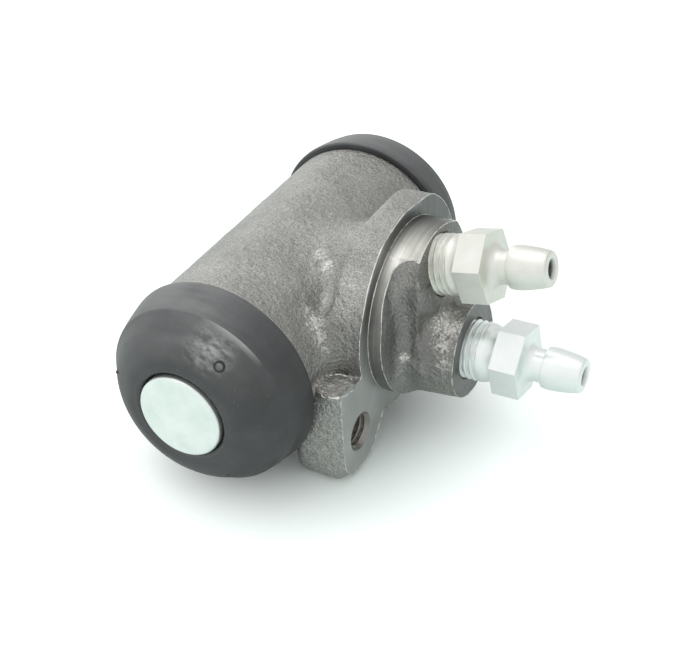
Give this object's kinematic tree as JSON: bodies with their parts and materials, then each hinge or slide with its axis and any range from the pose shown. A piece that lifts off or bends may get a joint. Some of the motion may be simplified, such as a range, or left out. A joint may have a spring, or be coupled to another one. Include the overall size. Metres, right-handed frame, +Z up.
{
  "type": "drum-brake wheel cylinder",
  "caption": "Hydraulic drum-brake wheel cylinder: cast barrel with a mounting flange and spigot, opposed sprung pistons behind rubber boots, and angled bleed screws.",
  "frame": {"origin": "centre of the pilot spigot, in the plane of the mounting face", "axes": "+X out of the mounting face along the spigot, +Y along the bore, +Z up"},
  "size_m": [0.0688, 0.0748, 0.0376],
  "materials": {
    "casting": "rough grey-brown casting with machined faces",
    "piston": "bright zinc plating",
    "cup": "smooth black rubber",
    "inner_steel": "plain steel",
    "boot": "satin black rubber",
    "screw": "bright zinc plating"
  },
  "bodies": {
    "housing": {"cylinder_body": "casting", "left_dust_boot": "boot", "right_dust_boot": "boot", "return_spring": "inner_steel"},
    "left_piston_group": {"left_piston": "piston", "left_cup_seal": "cup", "left_cup_expander": "inner_steel"},
    "right_piston_group": {"right_piston": "piston", "right_cup_seal": "cup", "right_cup_expander": "inner_steel"},
    "upper_screw": {"upper_bleed_screw": "screw"},
    "lower_screw": {"lower_bleed_screw": "screw"}
  },
  "joints": [
    {"name": "left_piston_slide", "type": "slide", "parent": "housing", "child": "left_piston_group", "axis": [0, -1, 0], "range_m": [-0.0025, 0.008], "deforming": ["return_spring"]},
    {"name": "right_piston_slide", "type": "slide", "parent": "housing", "child": "right_piston_group", "axis": [0, 1, 0], "range_m": [-0.0025, 0.008], "deforming": ["return_spring"]},
    {"name": "upper_screw_turn", "type": "hinge", "parent": "housing", "child": "upper_screw", "pos_m": [0.0064, 0, 0.009], "axis": [0.9816, 0, 0.1908], "range_deg": [0, 360]},
    {"name": "lower_screw_turn", "type": "hinge", "parent": "housing", "child": "lower_screw", "pos_m": [0.0114, 0, -0.006], "axis": [1, 0, 0], "range_deg": [0, 360]}
  ]
}
